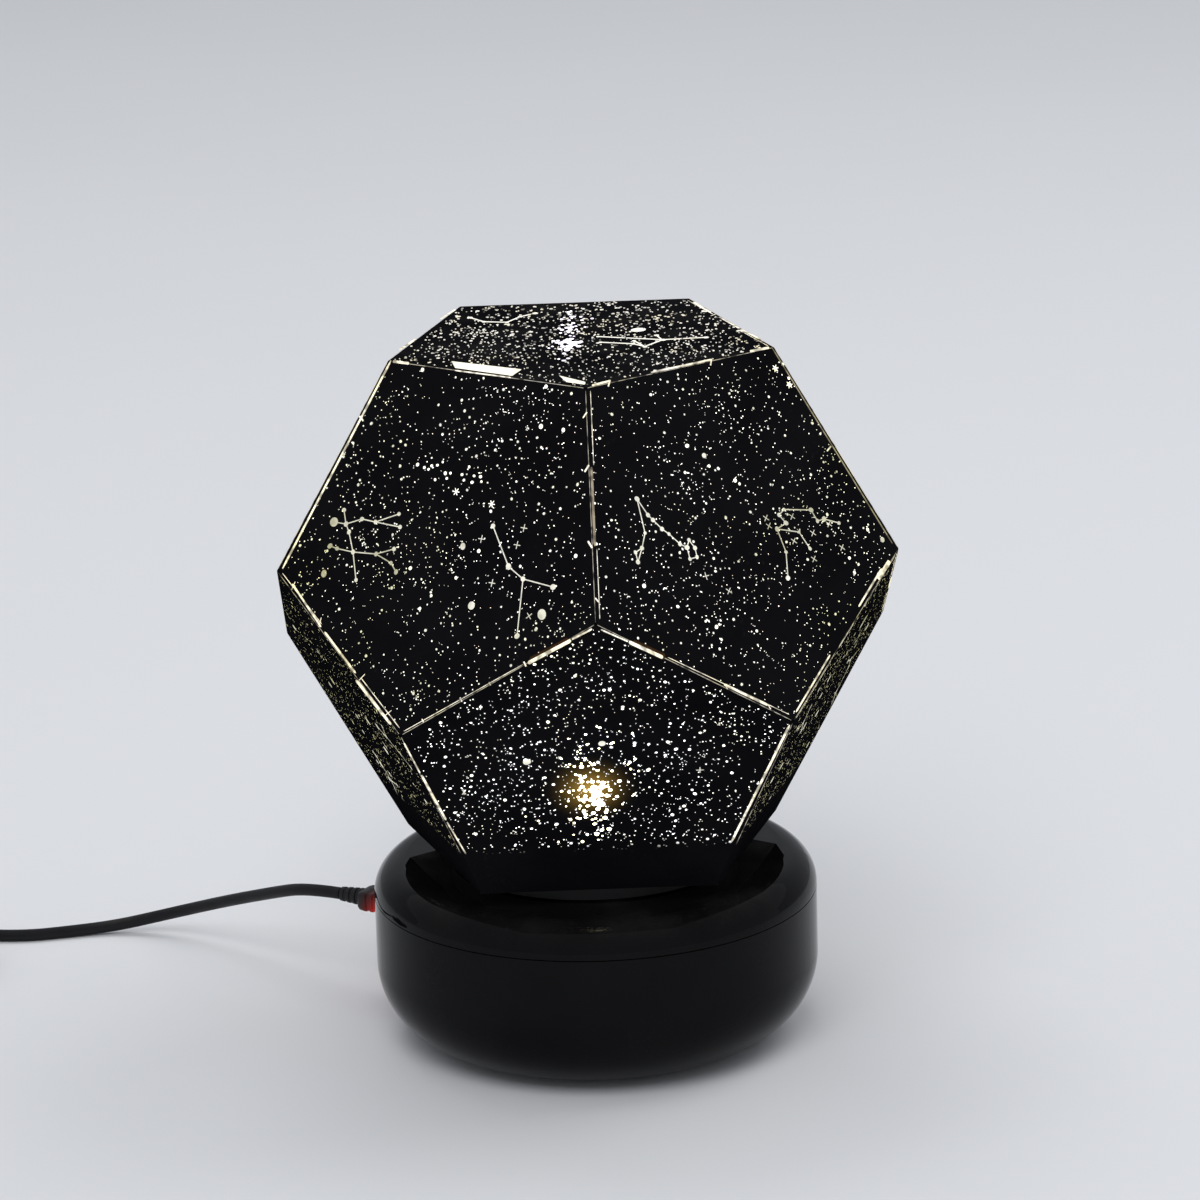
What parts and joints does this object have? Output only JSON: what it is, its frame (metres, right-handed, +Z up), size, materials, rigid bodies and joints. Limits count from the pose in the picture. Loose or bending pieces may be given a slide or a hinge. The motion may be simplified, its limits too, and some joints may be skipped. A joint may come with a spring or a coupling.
{
  "type": "rotating star projector lamp",
  "caption": "Dodecahedral star-window lantern on a motor-driven turntable over a round battery base with a USB lead.",
  "frame": {"origin": "on the table under the middle of the base", "axes": "+Z up, -Y towards the front seam of the top panel"},
  "size_m": [0.3495, 0.1877, 0.1991],
  "materials": {
    "star_film": "glossy black printed film with clear star windows, lit from inside",
    "tab_film": "black film",
    "floor_card": "black film",
    "base_gloss": "polished black",
    "foot_rubber": "matt black",
    "screw_steel": "zinc plated",
    "drum_plastic": "fine texture",
    "bearing_plastic": "smooth white",
    "circuit_board": "green solder mask",
    "lamp_board_white": "white solder mask",
    "led_yellow": "phosphor, lit",
    "clear_dome": "clear moulded dome",
    "chip_black": "moulded",
    "plated_metal": "nickel plated",
    "charge_red": "red, lit",
    "button_black": "smooth",
    "cell_sleeve": "shrink sleeve",
    "motor_steel": "drawn can",
    "gearbox_brass": "brass plates",
    "lead_sleeve": "insulated wire",
    "plug_plastic": "satin black",
    "cord_sleeve": "satin black sleeve"
  },
  "bodies": {
    "base": {"base_upper_shell": "base_gloss", "base_lower_shell": "base_gloss", "base_screws": "screw_steel", "rubber_feet": "foot_rubber", "lamp_post": "drum_plastic", "post_screws": "screw_steel", "thrust_washer": "bearing_plastic", "retaining_clip": "screw_steel", "lamp_board": "lamp_board_white", "led_chip": "led_yellow", "led_lens": "clear_dome", "control_board": "circuit_board", "board_screws": "screw_steel", "controller_chips": "chip_black", "usb_socket": "plated_metal", "charge_light": "charge_red", "push_switches": "chip_black", "battery_cell": "cell_sleeve", "battery_holder": "drum_plastic", "battery_contacts": "plated_metal", "motor_can": "motor_steel", "motor_gearbox": "gearbox_brass", "motor_bracket": "drum_plastic", "motor_screws": "screw_steel", "lamp_leads": "lead_sleeve", "motor_leads": "lead_sleeve", "battery_leads": "lead_sleeve", "micro_usb_plug": "plug_plastic", "micro_usb_tip": "plated_metal", "cord_run": "cord_sleeve", "cord_coil": "cord_sleeve", "usb_a_plug": "plug_plastic", "usb_a_tip": "plated_metal"},
    "turntable": {"turntable_drum": "drum_plastic", "turntable_bushes": "bearing_plastic", "turntable_gear": "bearing_plastic"},
    "drive": {"motor_shaft": "screw_steel", "motor_pinion": "bearing_plastic"},
    "lantern": {"star_panel_top": "star_film", "star_panel_upper_1": "star_film", "star_panel_upper_2": "star_film", "star_panel_upper_3": "star_film", "star_panel_upper_4": "star_film", "star_panel_upper_5": "star_film", "star_panel_lower_1": "star_film", "star_panel_lower_2": "star_film", "star_panel_lower_3": "star_film", "star_panel_lower_4": "star_film", "star_panel_lower_5": "star_film", "lantern_floor": "floor_card", "seam_tabs_top": "tab_film", "seam_tabs_upper": "tab_film", "seam_tabs_middle": "tab_film", "seam_tabs_lower": "tab_film", "seam_tabs_floor": "tab_film"},
    "power_key": {"power_button": "button_black", "power_switch_stem": "button_black"},
    "rotation_key": {"rotation_button": "button_black", "rotation_switch_stem": "button_black"}
  },
  "joints": [
    {"name": "turntable_spin", "type": "hinge", "parent": "base", "child": "turntable", "pos_m": [0, 0, 0.0517], "axis": [0, 0, 1], "continuous": true},
    {"name": "drive_pinion_spin", "type": "hinge", "parent": "base", "child": "drive", "pos_m": [0.02819, 0.01026, 0.0351], "axis": [0, 0, 1], "continuous": true},
    {"name": "lantern_lift", "type": "slide", "parent": "turntable", "child": "lantern", "axis": [0, 0, 1], "range_m": [0, 0.04]},
    {"name": "power_button_press", "type": "slide", "parent": "base", "child": "power_key", "axis": [0.4695, -0.8829, 0], "range_m": [0, 0.0008], "stiffness_N_per_m": 1500, "springref_m": -0.0005},
    {"name": "rotation_button_press", "type": "slide", "parent": "base", "child": "rotation_key", "axis": [0.1736, -0.9848, 0], "range_m": [0, 0.0008], "stiffness_N_per_m": 1500, "springref_m": -0.0005}
  ],
  "couplings": [
    {"joint": "drive_pinion_spin", "follows": "turntable_spin", "ratio": -4}
  ]
}
